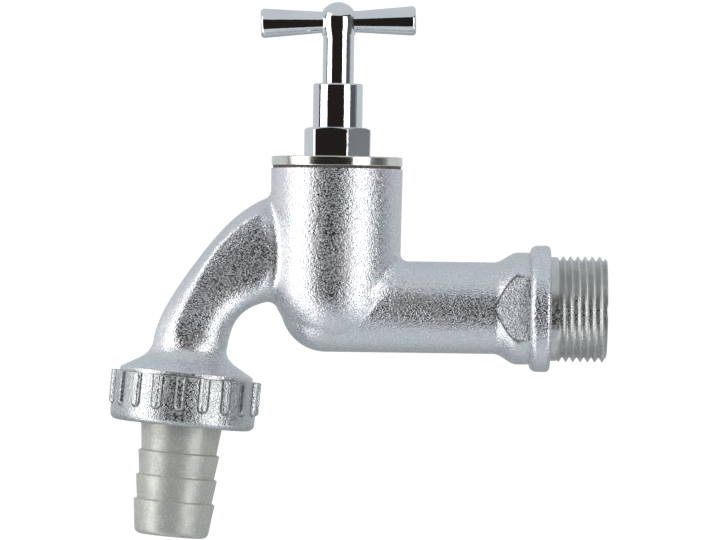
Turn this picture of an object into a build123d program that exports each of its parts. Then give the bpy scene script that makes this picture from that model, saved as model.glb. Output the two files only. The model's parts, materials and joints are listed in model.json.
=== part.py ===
from build123d import *
import math
import os

# Water tap with a rising spindle, a union nut and a barbed hose tail, in millimetres.
# The origin lies on the inlet axis, at the flange face where the inlet thread starts.
# X runs out of the inlet towards the wall, Z runs up along the spindle, Y is the depth.

# Inlet thread, flange and wrench boss
inlet_thread_diameter = 26.44
inlet_thread_length = 14.1
inlet_thread_chamfer = 0.9
inlet_bore_diameter = 17.0
flange_step = 1.8
flange_thickness = 5.2
flange_edge_radius = 0.9
boss_diameter = 28.0
boss_length = 8.2
boss_straight_length = 3.1
wrench_flat_width = 23.0
barrel_diameter = 22.9

# Valve chamber, with the seat inside it
spindle_distance = 53.7
chamber_top_diameter = 32.9
chamber_base_diameter = 32.2
chamber_rim_height = 34.3
chamber_round_height = 6.2
barrel_overrun = 2.2
chamber_bore_diameter = 25.6
chamber_floor_height = 9.3
seat_height = 10.6
seat_diameter = 16.4
seat_bore_diameter = 12.6
seat_feed_diameter = 12.8
feed_taper_start = 17.0
feed_taper_length = 5.0
barrel_joint_radius = 1.8
spout_joint_radius = 2.5
flare_joint_radius = 3.0

# Spout, swept down in one bend to the outlet
spout_reach = 36.6
spout_drop = 13.6
spout_bend_inset = 5.8
outlet_tilt = 4.8
spout_end_turn = 9.0
spout_end_radius = 9.2
spout_end_tuck = 0.4
spout_waist_turn = 22.0
spout_waist_tuck = 0.65
spout_shoulder_turn = 50.0
spout_shoulder_height = 10.3
spout_shoulder_width = 7.9
spout_root_turn = 74.0
spout_root_height = 14.0
spout_root_width = 7.7
spout_bore_diameter = 12.0
waterway_turn = 84.0
flare_start_step = 0.35
flare_start_rise = 4.5
flare_radius = 6.0
flare_cone_angle = 30.0
outlet_thread_diameter = 33.25
outlet_thread_end = 11.05
outlet_recess_diameter = 22.0
outlet_recess_depth = 5.0

# Headwork screwed into the chamber
body_thread_diameter = 27.0
body_thread_depth = 9.5
bonnet_gasket_width = 2.5
bonnet_gasket_thickness = 0.65
bonnet_ring_diameter = 32.7
bonnet_ring_thickness = 2.35
bonnet_ring_edge = 0.3
bonnet_hex_flats = 15.0
bonnet_hex_height = 7.3
bonnet_hex_turn = -13.8
hex_cone_share = 0.96
hex_cone_angle = 25.0
bonnet_neck_diameter = 12.4
bonnet_neck_height = 11.0
neck_floor_depth = 2.0
neck_edge_radius = 0.5
bonnet_nose_diameter = 16.6
bonnet_nose_length = 4.0

# Spindle and its seals
shank_diameter = 7.8
shank_stand = 12.0
spindle_thread_diameter = 10.0
spindle_foot_chamfer = 0.6
spindle_lift = 5.0
spindle_stop_gap = 0.2
spindle_washer_thickness = 0.8
tang_width = 5.0
tang_length = 5.0
stem_ring_section = 1.44
stem_ring_rise = 2.2
stem_ring_spacing = 4.0
jumper_socket_diameter = 6.1
jumper_socket_depth = 9.0

# Jumper valve
jumper_plate_diameter = 16.6
jumper_plate_thickness = 2.3
jumper_rim_depth = 1.4
jumper_rim_wall = 0.8
seat_washer_thickness = 2.45
jumper_stud_diameter = 5.0
washer_nut_flats = 8.0
washer_nut_height = 3.0
stud_stand = 0.5
backing_washer_diameter = 9.4
backing_washer_thickness = 0.5
snap_wire_diameter = 0.8
snap_ring_arc = 320.0

# Bar handle
handle_length = 38.8
arm_root_radius = 2.7
arm_end_radius = 3.75
arm_edge_radius = 0.9
hub_radius = 4.6
hub_height = 8.4
hub_foot_radius = 4.15
arm_drop = 0.4
tang_headroom = 0.2
handle_screw_diameter = 3.0
handle_screw_length = 1.9
screw_socket_flats = 1.5
screw_socket_depth = 1.0

# Union nut and hose tail
nut_top = 4.4
nut_wall = 1.4
nut_rib_height = 0.75
nut_rib_count = 19
nut_rib_width = 2.4
nut_rib_draft = 25.0
rib_sink = 0.5
nut_rib_turn = 182.0
nut_band_height = 3.9
nut_edge_radius = 1.8
nut_lip_thickness = 1.8
tail_collar_inset = 1.6
tail_collar_thickness = 2.0
tail_gasket_thickness = 1.8
tail_gasket_inset = 1.9
tail_gasket_bore = 16.0
tail_bore_diameter = 13.0
tail_neck_diameter = 20.3
barb_diameter = 20.3
barb_root_diameter = 18.8
first_barb_drop = 6.7
barb_pitch = 6.1
barb_count = 3
barb_shoulder = 0.35
tail_end_drop = 27.8
tail_tip_diameter = 18.3
tail_tip_radius = 1.6

# Clearances between pieces that turn, slide or slip over each other
running_gap = 0.05
thread_gap = 0.08
loose_gap = 0.25

# Places worked out from the sizes
spindle_x = -spindle_distance
tilt = math.radians(outlet_tilt)
spout_bend_radius = (spout_reach - spout_bend_inset) / math.cos(tilt)
bend_end_x = spindle_x - spout_reach
outlet_direction = Vector(-math.sin(tilt), 0, -math.cos(tilt))
outlet_plane = Plane(origin=(bend_end_x, 0, -spout_drop), x_dir=(0, 1, 0), z_dir=outlet_direction)
gasket_base = chamber_rim_height
ring_base = gasket_base + bonnet_gasket_thickness
hex_base = ring_base + bonnet_ring_thickness
neck_base = hex_base + bonnet_hex_height
neck_top = neck_base + bonnet_neck_height
hub_base = neck_top + shank_stand
crown_height = hub_base + hub_height - hub_radius
arm_height = crown_height - arm_drop
neck_bore_radius = shank_diameter / 2 + running_gap
shoulder_stop = neck_base - neck_floor_depth
spindle_shoulder_height = shoulder_stop - spindle_stop_gap - spindle_lift - spindle_washer_thickness
lower_ring_height = shoulder_stop + stem_ring_rise
upper_ring_height = lower_ring_height + stem_ring_spacing
collar_top = outlet_thread_end + tail_gasket_thickness
lip_top = collar_top + tail_collar_thickness + running_gap
nut_bottom = lip_top + nut_lip_thickness
nut_height = nut_bottom - nut_top
waterway_end = (
    bend_end_x - outlet_thread_end * math.sin(tilt),
    -spout_drop - outlet_thread_end * math.cos(tilt),
)
chamber_reach = spindle_x - chamber_base_diameter / 2 - spout_joint_radius
spout_waist_radius = spout_end_radius - spout_waist_tuck
flare_start_radius = spout_waist_radius + flare_start_step
flare_reach = bend_end_x + spout_waist_radius / 2
plate_base = seat_height + seat_washer_thickness
plate_top = plate_base + jumper_plate_thickness
spindle_foot_height = plate_top + loose_gap
socket_top = spindle_foot_height + jumper_socket_depth


def spindle_level(height):
    """Level plane on the spindle axis at a height above the inlet axis."""
    return Plane.XY.offset(height).shift_origin((spindle_x, 0, height))


spindle_side = Plane(origin=(spindle_x, 0, 0), x_dir=(1, 0, 0), z_dir=(0, -1, 0))
spindle_axis = Axis((spindle_x, 0, 0), (0, 0, 1))
outlet_side = Plane(origin=outlet_plane.origin, x_dir=(math.cos(tilt), 0, -math.sin(tilt)), z_dir=(0, 1, 0))
outlet_axis = Axis(outlet_plane.origin, outlet_direction)
os.makedirs("parts", exist_ok=True)


def finish_piece(piece, label):
    """Name a finished piece and write it to its own file."""
    piece.part.label = label
    export_step(piece.part, f"parts/{label}.step")


def spout_section(turn):
    """Section plane square to the spout's centre line, at an angle round the bend from its end."""
    lean = math.radians(turn + outlet_tilt)
    centre_x = bend_end_x + spout_bend_radius * math.cos(tilt) - spout_bend_radius * math.cos(lean)
    centre_z = -spout_drop + spout_bend_radius * (math.sin(lean) - math.sin(tilt))
    return Plane(
        origin=(centre_x, 0, centre_z),
        x_dir=(0, 1, 0),
        z_dir=(-math.sin(lean), 0, -math.cos(lean)),
    )


# Cast body: chamber, inlet barrel and spout, with the waterway and the valve seat inside
with BuildPart() as tap_body:
    # Chamber with its rounded base
    with BuildSketch(spindle_side):
        with BuildLine():
            base_radius = chamber_base_diameter / 2
            top_radius = chamber_top_diameter / 2
            round_end = (base_radius, chamber_round_height)
            RadiusArc((0, chamber_round_height - base_radius), round_end, -base_radius)
            Line(round_end, (top_radius, chamber_rim_height))
            Line((top_radius, chamber_rim_height), (0, chamber_rim_height))
            Line((0, chamber_rim_height), (0, chamber_round_height - base_radius))
        make_face()
    revolve(axis=spindle_axis)

    # Inlet barrel, wrench boss, flange and thread in one turned outline
    with BuildSketch(Plane.XZ):
        with BuildLine():
            barrel_radius = barrel_diameter / 2
            boss_radius = boss_diameter / 2
            flange_radius = boss_radius + flange_step
            thread_radius = inlet_thread_diameter / 2
            boss_start = -flange_thickness - boss_length
            boss_full = -flange_thickness - boss_straight_length
            end_centre = spindle_x - barrel_overrun
            thread_end = inlet_thread_length
            chamfer_start = thread_end - inlet_thread_chamfer
            RadiusArc((end_centre - barrel_radius, 0), (end_centre, barrel_radius), barrel_radius)
            Line((end_centre, barrel_radius), (boss_start, barrel_radius))
            shoulder_run = boss_full - boss_start
            shoulder_rise = boss_radius - barrel_radius
            shoulder_radius = (shoulder_run**2 + shoulder_rise**2) / (2 * shoulder_rise)
            RadiusArc((boss_start, barrel_radius), (boss_full, boss_radius), shoulder_radius)
            Line((boss_full, boss_radius), (-flange_thickness, boss_radius))
            Line((-flange_thickness, boss_radius), (-flange_thickness, flange_radius))
            Line((-flange_thickness, flange_radius), (0, flange_radius))
            Line((0, flange_radius), (0, thread_radius))
            Line((0, thread_radius), (chamfer_start, thread_radius))
            Line((chamfer_start, thread_radius), (thread_end, thread_radius - inlet_thread_chamfer))
            Line((thread_end, thread_radius - inlet_thread_chamfer), (thread_end, 0))
            Line((thread_end, 0), (end_centre - barrel_radius, 0))
        make_face()
    revolve(axis=Axis.X)
    flange_edges = tap_body.edges().filter_by(GeomType.CIRCLE).filter_by(
        lambda edge: abs(edge.radius - flange_radius) < 0.01
    )
    fillet(flange_edges, flange_edge_radius)

    # Spout, from inside the chamber down to the outlet
    outlet_end_radius = spout_end_radius - spout_end_tuck
    for turn, half_height, half_width in (
        (0, outlet_end_radius, outlet_end_radius),
        (spout_end_turn, spout_end_radius, spout_end_radius),
        (spout_waist_turn, spout_waist_radius, spout_waist_radius),
        (spout_shoulder_turn, spout_shoulder_height, spout_shoulder_width),
        (spout_root_turn, spout_root_height, spout_root_width),
    ):
        with BuildSketch(spout_section(turn)):
            Ellipse(half_width, half_height)
    loft()

    # Trumpet flare and the outlet's threaded rim
    with BuildSketch(outlet_side):
        with BuildLine():
            rim_radius = outlet_thread_diameter / 2
            throat = (flare_start_radius, -flare_start_rise)
            trumpet = JernArc(throat, (0, 1), flare_radius, flare_cone_angle - 90)
            cone_rise = (rim_radius - (trumpet @ 1).X) * math.tan(math.radians(flare_cone_angle))
            rim_start = (trumpet @ 1).Y + cone_rise
            Line(trumpet @ 1, (rim_radius, rim_start))
            Line((rim_radius, rim_start), (rim_radius, outlet_thread_end))
            Line((rim_radius, outlet_thread_end), (0, outlet_thread_end))
            Line((0, outlet_thread_end), (0, -flare_start_rise))
            Line((0, -flare_start_rise), throat)
        make_face()
    revolve(axis=outlet_axis)

    # Joints between the chamber, the barrel and the spout are rounded like a casting
    seams = tap_body.edges().filter_by(GeomType.BSPLINE)
    fillet(seams.filter_by(lambda edge: edge.center().X > spindle_x), barrel_joint_radius)
    seams = tap_body.edges().filter_by(GeomType.BSPLINE)
    fillet(seams.filter_by(lambda edge: chamber_reach < edge.center().X < spindle_x), spout_joint_radius)
    seams = tap_body.edges().filter_by(GeomType.BSPLINE)
    fillet(seams.filter_by(lambda edge: edge.center().X < flare_reach), flare_joint_radius)

    # Two wrench flats, front and back, from the flange into the barrel's own width
    flat_centre = (wrench_flat_width + boss_radius) / 2
    with BuildSketch(Plane.YZ.offset(-flange_thickness)):
        with Locations((flat_centre, 0), (-flat_centre, 0)):
            Rectangle(boss_radius, 2 * boss_radius)
    extrude(amount=-boss_length, mode=Mode.SUBTRACT)

    # Inlet waterway, narrowing to the well below the seat
    with BuildSketch(Plane.XZ):
        with BuildLine():
            bore_radius = inlet_bore_diameter / 2
            feed_radius = seat_feed_diameter / 2
            taper_end = spindle_x + feed_taper_start
            mouth = inlet_thread_length
            RadiusArc((spindle_x - feed_radius, 0), (spindle_x, feed_radius), feed_radius)
            Line((spindle_x, feed_radius), (taper_end, feed_radius))
            Line((taper_end, feed_radius), (taper_end + feed_taper_length, bore_radius))
            Line((taper_end + feed_taper_length, bore_radius), (mouth, bore_radius))
            Line((mouth, bore_radius), (mouth, 0))
            Line((mouth, 0), (spindle_x - feed_radius, 0))
        make_face()
    revolve(axis=Axis.X, mode=Mode.SUBTRACT)

    # Valve chamber above the floor, opened to the thread's width at the rim
    chamber_depth = chamber_rim_height - chamber_floor_height
    with BuildSketch(spindle_level(chamber_floor_height)):
        Circle(chamber_bore_diameter / 2)
    extrude(amount=chamber_depth, mode=Mode.SUBTRACT)
    with BuildSketch(spindle_level(chamber_rim_height - body_thread_depth)):
        Circle(body_thread_diameter / 2)
    extrude(amount=body_thread_depth, mode=Mode.SUBTRACT)

    # Spout waterway, along the bend and straight down to the outlet's face
    with BuildLine(Plane.XZ) as waterway:
        bend_start = (bend_end_x, -spout_drop)
        bend = JernArc(bend_start, (math.sin(tilt), math.cos(tilt)), spout_bend_radius, -waterway_turn)
        Line(bend @ 0, waterway_end)
    with BuildSketch(Plane(origin=(waterway_end[0], 0, waterway_end[1]), z_dir=-outlet_direction)):
        Circle(spout_bore_diameter / 2)
    sweep(path=waterway.wire(), mode=Mode.SUBTRACT)
    with BuildSketch(outlet_plane.offset(outlet_thread_end - outlet_recess_depth)):
        Circle(outlet_recess_diameter / 2)
    extrude(amount=outlet_recess_depth, mode=Mode.SUBTRACT)

    # Raised seat round the hole that the valve closes
    with BuildSketch(spindle_level(chamber_floor_height)):
        Circle(seat_diameter / 2)
    extrude(amount=seat_height - chamber_floor_height)
    with BuildSketch(spindle_level(0)):
        Circle(seat_bore_diameter / 2)
    extrude(amount=seat_height, mode=Mode.SUBTRACT)
finish_piece(tap_body, "tap_body")


# Headwork housing: thread, sealing ring, hexagon and the neck that guides the spindle
with BuildPart() as bonnet:
    spigot_radius = body_thread_diameter / 2 - running_gap
    thread_bottom = chamber_rim_height - body_thread_depth + loose_gap
    with BuildSketch(spindle_level(thread_bottom)):
        Circle(spigot_radius)
    extrude(amount=ring_base - thread_bottom)
    with BuildSketch(spindle_level(thread_bottom - bonnet_nose_length)):
        Circle(bonnet_nose_diameter / 2)
    extrude(amount=bonnet_nose_length)
    with BuildSketch(spindle_level(ring_base)):
        Circle(bonnet_ring_diameter / 2)
    extrude(amount=bonnet_ring_thickness)
    ring_edges = bonnet.edges().filter_by(GeomType.CIRCLE).filter_by(
        lambda edge: abs(edge.radius - bonnet_ring_diameter / 2) < 0.01
    )
    fillet(ring_edges, bonnet_ring_edge)
    with BuildSketch(spindle_level(hex_base)):
        RegularPolygon(bonnet_hex_flats / 2, 6, major_radius=False, rotation=bonnet_hex_turn)
    extrude(amount=bonnet_hex_height)
    # The hexagon's top corners are turned down to a cone
    with BuildSketch(spindle_side):
        with BuildLine():
            corner_radius = bonnet_hex_flats / math.sqrt(3) + 1
            cone_start = bonnet_hex_flats / 2 * hex_cone_share
            cone_drop = (corner_radius - cone_start) * math.tan(math.radians(hex_cone_angle))
            Polyline(
                (cone_start, neck_base),
                (corner_radius, neck_base - cone_drop),
                (corner_radius, neck_base + 1),
                (cone_start, neck_base + 1),
                close=True,
            )
        make_face()
    revolve(axis=spindle_axis, mode=Mode.SUBTRACT)
    with BuildSketch(spindle_level(neck_base)):
        Circle(bonnet_neck_diameter / 2)
    extrude(amount=bonnet_neck_height)
    neck_edge = bonnet.edges().filter_by(GeomType.CIRCLE).sort_by(Axis.Z)[-1]
    fillet(neck_edge, neck_edge_radius)
    # Bore for the spindle's thread, then the close bore that its seals run in
    with BuildSketch(spindle_level(thread_bottom - bonnet_nose_length)):
        Circle(spindle_thread_diameter / 2 + thread_gap)
    extrude(amount=shoulder_stop - thread_bottom + bonnet_nose_length, mode=Mode.SUBTRACT)
    with BuildSketch(spindle_level(shoulder_stop)):
        Circle(neck_bore_radius)
    extrude(amount=neck_top - shoulder_stop, mode=Mode.SUBTRACT)
finish_piece(bonnet, "bonnet")


# Flat sealing ring between the body and the headwork
with BuildPart() as bonnet_gasket:
    with BuildSketch(spindle_level(gasket_base)):
        Circle(body_thread_diameter / 2 + bonnet_gasket_width)
        Circle(body_thread_diameter / 2 + running_gap, mode=Mode.SUBTRACT)
    extrude(amount=bonnet_gasket_thickness)
finish_piece(bonnet_gasket, "bonnet_gasket")


# Spindle: thread and foot below, sealed shank above, square tang for the handle
groove_width = stem_ring_section + 2 * loose_gap
ring_centre_radius = neck_bore_radius - stem_ring_section / 2 - running_gap / 2
groove_root_radius = ring_centre_radius - stem_ring_section / 2 - running_gap / 2
snap_height = spindle_foot_height + snap_wire_diameter * 2.5
snap_centre_radius = jumper_socket_diameter / 2 + snap_wire_diameter / 4
with BuildPart() as spindle:
    with BuildSketch(spindle_level(spindle_foot_height)):
        Circle(spindle_thread_diameter / 2)
    extrude(amount=spindle_shoulder_height - spindle_foot_height)
    foot_edge = spindle.edges().filter_by(GeomType.CIRCLE).sort_by(Axis.Z)[0]
    chamfer(foot_edge, spindle_foot_chamfer)
    with BuildSketch(spindle_level(spindle_shoulder_height)):
        Circle(shank_diameter / 2)
    extrude(amount=hub_base - spindle_shoulder_height)
    with BuildSketch(spindle_level(hub_base)):
        Rectangle(tang_width, tang_width)
    extrude(amount=tang_length)
    for groove_height in (lower_ring_height, upper_ring_height):
        with BuildSketch(spindle_level(groove_height - groove_width / 2)):
            Circle(shank_diameter / 2)
            Circle(groove_root_radius, mode=Mode.SUBTRACT)
        extrude(amount=groove_width, mode=Mode.SUBTRACT)
    with BuildSketch(spindle_level(spindle_foot_height)):
        Circle(jumper_socket_diameter / 2)
    extrude(amount=jumper_socket_depth, mode=Mode.SUBTRACT)
    with BuildSketch(spindle_level(snap_height - snap_wire_diameter / 2 - running_gap)):
        Circle(snap_centre_radius + snap_wire_diameter / 2 + running_gap)
    extrude(amount=snap_wire_diameter + 2 * running_gap, mode=Mode.SUBTRACT)
finish_piece(spindle, "spindle")


def stem_ring(height):
    """Rubber ring in one of the shank's grooves."""
    with BuildPart(spindle_level(height)) as ring:
        Torus(ring_centre_radius, stem_ring_section / 2)
    return ring


lower_stem_ring = stem_ring(lower_ring_height)
upper_stem_ring = stem_ring(upper_ring_height)
finish_piece(lower_stem_ring, "lower_stem_ring")
finish_piece(upper_stem_ring, "upper_stem_ring")

# Slip washer on the spindle's shoulder, which meets the bonnet when the tap is fully open
with BuildPart() as slip_washer:
    with BuildSketch(spindle_level(spindle_shoulder_height)):
        Circle(spindle_thread_diameter / 2 - loose_gap)
        Circle(shank_diameter / 2 + running_gap, mode=Mode.SUBTRACT)
    extrude(amount=spindle_washer_thickness)
finish_piece(slip_washer, "slip_washer")

# Open wire ring that keeps the jumper in the spindle's foot
with BuildPart() as snap_ring:
    with BuildSketch(spindle_side):
        with Locations((snap_centre_radius, snap_height)):
            Circle(snap_wire_diameter / 2)
    revolve(axis=spindle_axis, revolution_arc=snap_ring_arc)
finish_piece(snap_ring, "snap_ring")


# Jumper valve: stem in the spindle's foot, plate that cups the washer, threaded stud below
jumper_stem_radius = jumper_socket_diameter / 2 - running_gap
stud_bottom = seat_height - backing_washer_thickness - washer_nut_height - stud_stand
with BuildPart() as jumper:
    with BuildSketch(spindle_level(plate_base)):
        Circle(jumper_plate_diameter / 2)
    extrude(amount=jumper_plate_thickness)
    with BuildSketch(spindle_level(plate_base - jumper_rim_depth)):
        Circle(jumper_plate_diameter / 2)
        Circle(jumper_plate_diameter / 2 - jumper_rim_wall, mode=Mode.SUBTRACT)
    extrude(amount=jumper_rim_depth)
    with BuildSketch(spindle_level(plate_top)):
        Circle(jumper_stem_radius)
    extrude(amount=socket_top - loose_gap - plate_top)
    with BuildSketch(spindle_level(snap_height - snap_wire_diameter)):
        Circle(jumper_stem_radius)
        Circle(snap_centre_radius - snap_wire_diameter / 2 - running_gap, mode=Mode.SUBTRACT)
    extrude(amount=2 * snap_wire_diameter, mode=Mode.SUBTRACT)
    with BuildSketch(spindle_level(stud_bottom)):
        Circle(jumper_stud_diameter / 2)
    extrude(amount=plate_base - stud_bottom)
finish_piece(jumper, "jumper")

with BuildPart() as seat_washer:
    with BuildSketch(spindle_level(seat_height)):
        Circle(jumper_plate_diameter / 2 - jumper_rim_wall - running_gap)
        Circle(jumper_stud_diameter / 2 + running_gap, mode=Mode.SUBTRACT)
    extrude(amount=seat_washer_thickness)
finish_piece(seat_washer, "seat_washer")

with BuildPart() as backing_washer:
    with BuildSketch(spindle_level(seat_height - backing_washer_thickness)):
        Circle(backing_washer_diameter / 2)
        Circle(jumper_stud_diameter / 2 + running_gap, mode=Mode.SUBTRACT)
    extrude(amount=backing_washer_thickness)
finish_piece(backing_washer, "backing_washer")

with BuildPart() as washer_nut:
    with BuildSketch(spindle_level(seat_height - backing_washer_thickness - washer_nut_height)):
        RegularPolygon(washer_nut_flats / 2, 6, major_radius=False)
        Circle(jumper_stud_diameter / 2 + running_gap, mode=Mode.SUBTRACT)
    extrude(amount=washer_nut_height)
finish_piece(washer_nut, "washer_nut")


# Bar handle: ball hub over the spindle's tang, with two arms that widen to their ends
with BuildPart() as handle:
    with BuildSketch(spindle_side):
        with BuildLine():
            RadiusArc((0, hub_base + hub_height), (hub_radius, crown_height), hub_radius)
            foot_drop = crown_height - hub_base
            foot_step = hub_radius - hub_foot_radius
            foot_curve = (foot_drop**2 + foot_step**2) / (2 * foot_step)
            RadiusArc((hub_radius, crown_height), (hub_foot_radius, hub_base), foot_curve)
            Line((hub_foot_radius, hub_base), (0, hub_base))
            Line((0, hub_base), (0, hub_base + hub_height))
        make_face()
    revolve(axis=spindle_axis)
    with BuildSketch(spindle_side):
        with BuildLine():
            half_length = handle_length / 2
            Line((0, arm_height), (0, arm_height + arm_root_radius))
            Line((0, arm_height + arm_root_radius), (hub_radius, arm_height + arm_root_radius))
            Line((hub_radius, arm_height + arm_root_radius), (half_length, arm_height + arm_end_radius))
            Line((half_length, arm_height + arm_end_radius), (half_length, arm_height))
            Line((half_length, arm_height), (0, arm_height))
        make_face()
        mirror(about=Plane.YZ)
    revolve(axis=Axis((spindle_x, 0, arm_height), (1, 0, 0)))
    end_edges = handle.edges().filter_by(GeomType.CIRCLE).filter_by(
        lambda edge: abs(edge.radius - arm_end_radius) < 0.01
    )
    fillet(end_edges, arm_edge_radius)
    with BuildSketch(spindle_level(hub_base)):
        Rectangle(tang_width + 2 * running_gap, tang_width + 2 * running_gap)
    extrude(amount=tang_length + tang_headroom, mode=Mode.SUBTRACT)
    screw_plane = Plane.XZ.shift_origin((spindle_x, 0, hub_base + tang_length / 2))
    with BuildSketch(screw_plane):
        Circle(handle_screw_diameter / 2 + running_gap)
    extrude(amount=-hub_radius, mode=Mode.SUBTRACT)
finish_piece(handle, "handle")

# Grub screw at the back of the hub, with its hexagon socket
with BuildPart() as handle_screw:
    screw_tip = tang_width / 2 + running_gap
    with BuildSketch(screw_plane.offset(-screw_tip)):
        Circle(handle_screw_diameter / 2)
    extrude(amount=-handle_screw_length)
    with BuildSketch(screw_plane.offset(-screw_tip - handle_screw_length)):
        RegularPolygon(screw_socket_flats / 2, 6, major_radius=False)
    extrude(amount=screw_socket_depth, mode=Mode.SUBTRACT)
finish_piece(handle_screw, "handle_screw")


# Union nut: ribbed grip above, smooth band below, with a lip that carries the tail's collar
with BuildPart(outlet_plane.offset(nut_top)) as union_nut:
    nut_radius = outlet_thread_diameter / 2 + thread_gap + nut_wall
    Cylinder(nut_radius, nut_height, align=(Align.CENTER, Align.CENTER, Align.MIN))
    band_edge = union_nut.edges().filter_by(GeomType.CIRCLE).sort_by(outlet_axis)[-1]
    fillet(band_edge, nut_edge_radius)
    rib_length = nut_height - nut_band_height
    rib_draw = (rib_sink + nut_rib_height) * math.tan(math.radians(nut_rib_draft))
    rib_half = nut_rib_width / 2 + rib_sink * math.tan(math.radians(nut_rib_draft))
    for index in range(nut_rib_count):
        spoke = Plane(outlet_plane.location * Rot(0, 0, nut_rib_turn + 360 / nut_rib_count * index))
        rib_origin = spoke.origin + spoke.z_dir * nut_top + spoke.x_dir * (nut_radius - rib_sink)
        rib_plane = Plane(origin=rib_origin, x_dir=spoke.z_dir, z_dir=spoke.x_dir)
        with BuildSketch(rib_plane):
            with Locations((rib_length - rib_half, 0)):
                Circle(rib_half)
            with Locations(((rib_length - rib_half - rib_draw) / 2, 0)):
                Rectangle(rib_length - rib_half + rib_draw, 2 * rib_half)
        extrude(amount=rib_sink + nut_rib_height, taper=nut_rib_draft)
    split(bisect_by=outlet_plane.offset(nut_top), keep=Keep.TOP)
    with BuildSketch(outlet_plane.offset(nut_top)):
        Circle(outlet_thread_diameter / 2 + thread_gap)
    extrude(amount=lip_top - nut_top, mode=Mode.SUBTRACT)
    with BuildSketch(outlet_plane.offset(lip_top)):
        Circle(tail_neck_diameter / 2 + loose_gap)
    extrude(amount=nut_lip_thickness, mode=Mode.SUBTRACT)
finish_piece(union_nut, "union_nut")


# Flat rubber ring between the outlet's face and the tail
with BuildPart() as tail_gasket:
    with BuildSketch(outlet_plane.offset(outlet_thread_end)):
        Circle(outlet_thread_diameter / 2 - tail_gasket_inset)
        Circle(tail_gasket_bore / 2, mode=Mode.SUBTRACT)
    extrude(amount=tail_gasket_thickness)
finish_piece(tail_gasket, "tail_gasket")


# Hose tail: collar held by the nut, and barbs that grip the hose
with BuildPart() as hose_tail:
    with BuildSketch(outlet_side):
        with BuildLine():
            collar_radius = outlet_thread_diameter / 2 - tail_collar_inset
            neck_radius = tail_neck_diameter / 2
            root_radius = barb_root_diameter / 2
            crest_radius = barb_diameter / 2
            bore = tail_bore_diameter / 2
            collar_base = lip_top - running_gap
            tail_end = nut_bottom + tail_end_drop
            first_barb = nut_bottom + first_barb_drop
            steps = [(bore, collar_top), (collar_radius, collar_top), (collar_radius, collar_base)]
            steps += [(neck_radius, collar_base), (neck_radius, nut_bottom)]
            for index in range(barb_count):
                barb_height = first_barb + index * barb_pitch
                steps += [(root_radius, barb_height), (crest_radius, barb_height + barb_shoulder)]
            tip_radius = tail_tip_diameter / 2
            steps += [(tip_radius, tail_end), (bore, tail_end), (bore, collar_top)]
            Polyline(*steps)
        make_face()
    revolve(axis=outlet_axis)
    tip_edge = hose_tail.edges().filter_by(GeomType.CIRCLE).filter_by(
        lambda edge: abs(edge.radius - tip_radius) < 0.01
    )
    fillet(tip_edge, tail_tip_radius)
finish_piece(hose_tail, "hose_tail")
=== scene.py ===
"""Water tap in blasted and polished chrome, with a ribbed union nut and a barbed hose tail.

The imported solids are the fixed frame. Every length is in metres, in the frame of the solids:
the origin lies on the inlet axis at the flange face, X runs to the wall and Z up along the spindle.
"""

import json
import logging
import math
from collections.abc import Callable, Iterable
from dataclasses import dataclass, replace
from enum import Enum
from typing import Any

import bmesh
import bpy
from mathutils import Matrix, Vector


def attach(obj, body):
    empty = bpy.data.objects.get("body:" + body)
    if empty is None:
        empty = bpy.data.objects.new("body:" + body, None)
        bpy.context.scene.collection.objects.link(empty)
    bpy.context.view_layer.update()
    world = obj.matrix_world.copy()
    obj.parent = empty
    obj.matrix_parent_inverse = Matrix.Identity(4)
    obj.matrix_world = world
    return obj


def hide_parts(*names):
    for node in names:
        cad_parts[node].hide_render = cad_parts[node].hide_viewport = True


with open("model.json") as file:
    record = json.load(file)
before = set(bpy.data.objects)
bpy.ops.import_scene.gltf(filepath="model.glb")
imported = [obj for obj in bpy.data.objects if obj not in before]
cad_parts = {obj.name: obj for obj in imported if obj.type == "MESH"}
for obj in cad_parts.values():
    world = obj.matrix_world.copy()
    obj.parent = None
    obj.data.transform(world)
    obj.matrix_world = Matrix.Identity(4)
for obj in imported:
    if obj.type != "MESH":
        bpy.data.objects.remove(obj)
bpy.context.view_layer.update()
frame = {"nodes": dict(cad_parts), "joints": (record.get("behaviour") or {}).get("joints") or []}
LOG = logging.getLogger("water_tap")
WELD_GAP = 2e-6
NUT_JOINT_DEPTH = 0.010
NORMAL_LAYER = "kept_normal"
# Point layer of painted shade along the nut's rib feet and the wrench flats' rims.
PAINTED_SHADE_LAYER = "painted_edge_shade"


class Slot(Enum):
    """Material slots of the record that the new pieces stand in."""

    BLASTED = "blasted_chrome"
    POLISHED = "polished_chrome"


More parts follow.
